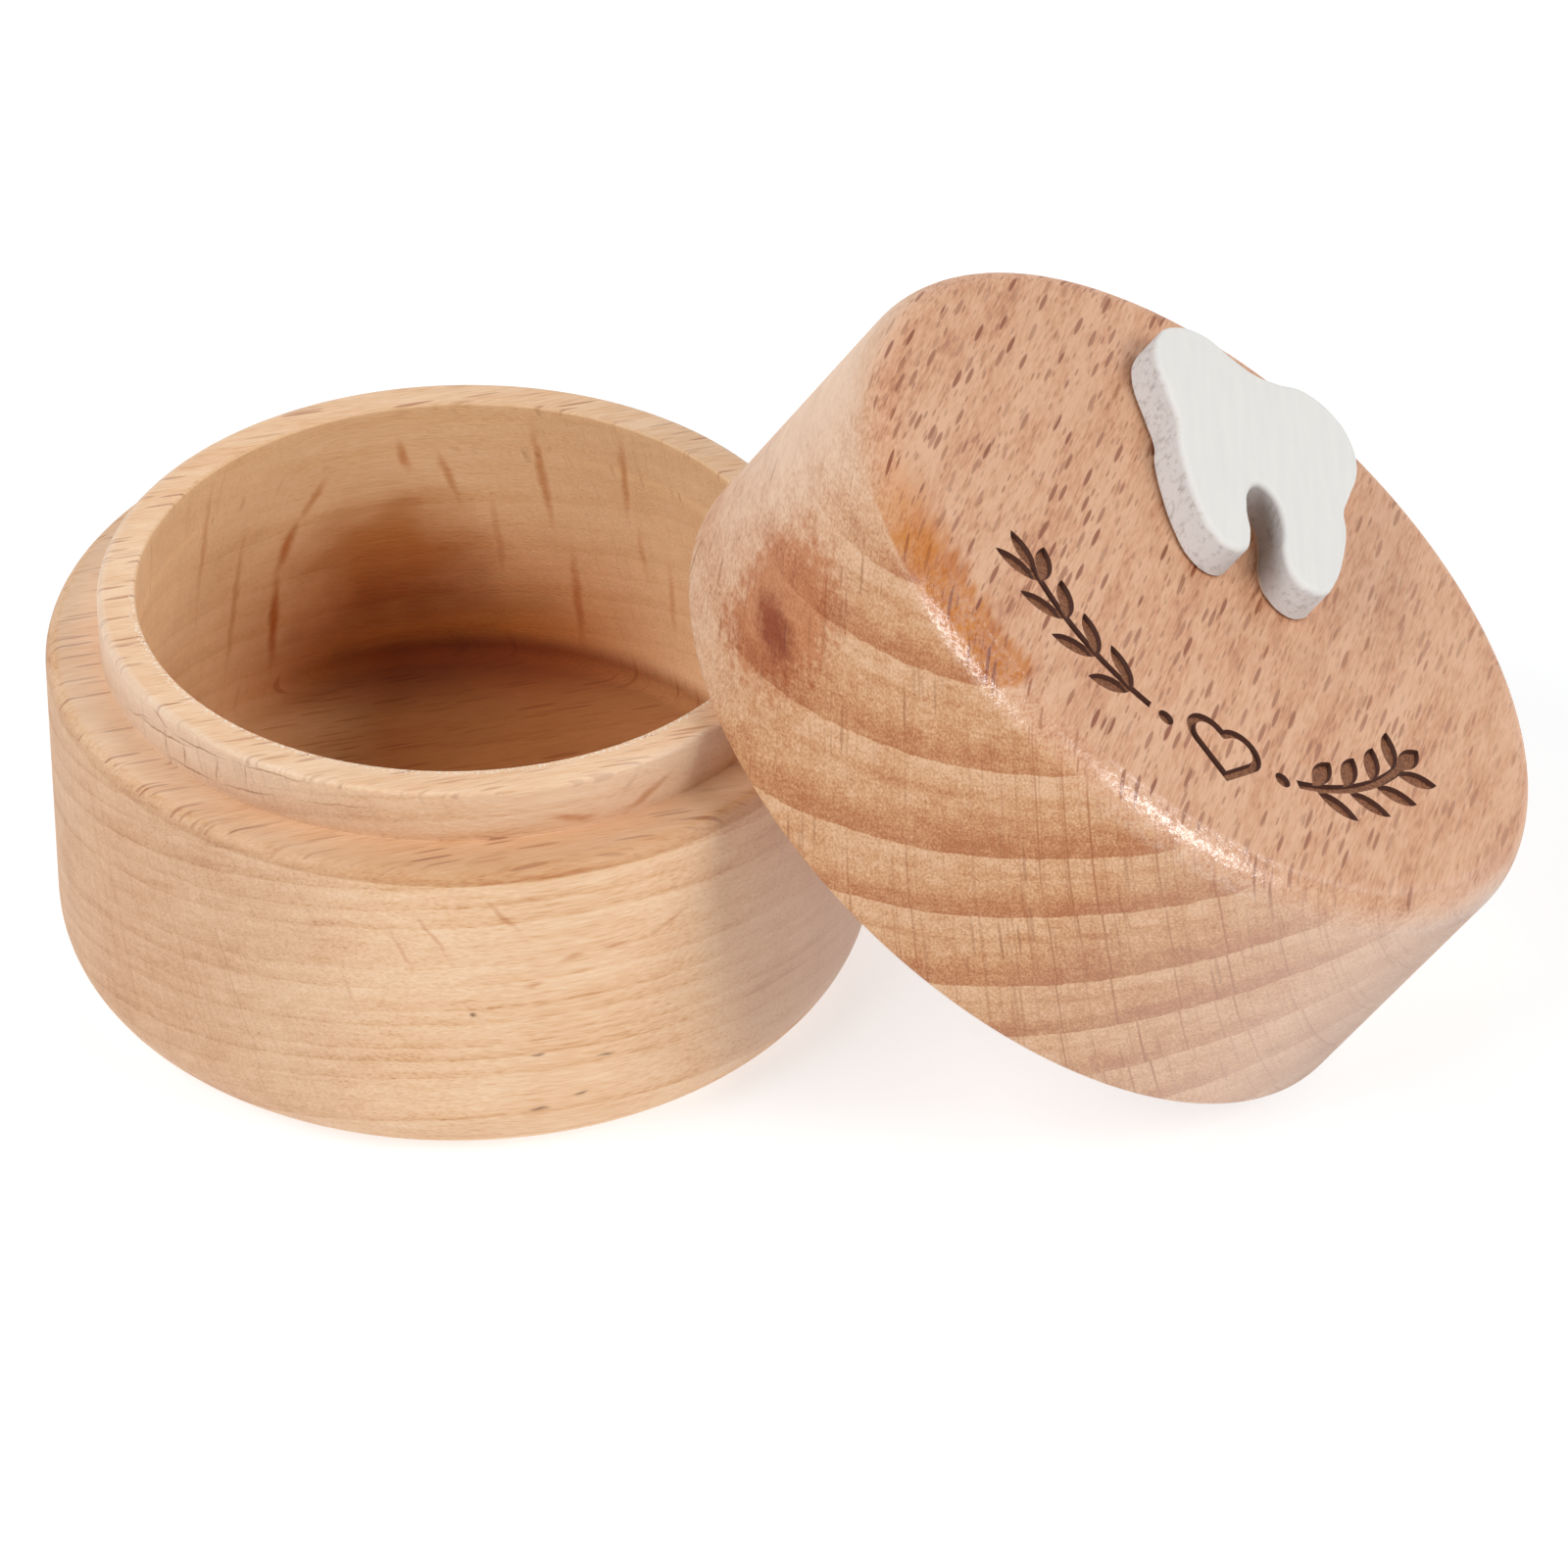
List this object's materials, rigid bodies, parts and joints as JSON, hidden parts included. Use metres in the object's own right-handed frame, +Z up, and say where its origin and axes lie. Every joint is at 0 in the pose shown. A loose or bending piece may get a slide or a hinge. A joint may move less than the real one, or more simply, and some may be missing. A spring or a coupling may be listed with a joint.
{
  "type": "keepsake box",
  "caption": "Round turned beech keepsake box, shown open: a cup with a spigot and a cap that leans on it, with a flat white tooth glued on top of the cap.",
  "frame": {"origin": "middle of the cup's flat foot, on the surface that the box stands on", "axes": "+Z up along the cup's axis, +X from the cup towards the cap that leans against it, -Y towards the viewer"},
  "size_m": [0.0984, 0.0612, 0.0476],
  "materials": {
    "base_beech": "fine sanded, bare",
    "lid_beech": "fine sanded, bare, burned ornament",
    "white_paint": "matte white paint on thin wood",
    "clear_glue": "dried clear glue film"
  },
  "bodies": {
    "base": {"base_cup": "base_beech"},
    "lid": {"lid_cap": "lid_beech", "tooth_plaque": "white_paint", "tooth_glue": "clear_glue"}
  },
  "joints": [
    {"name": "lid_lift", "type": "slide", "parent": "base", "child": "lid", "axis": [0, 0, 1], "range_m": [0, 0.06]}
  ]
}
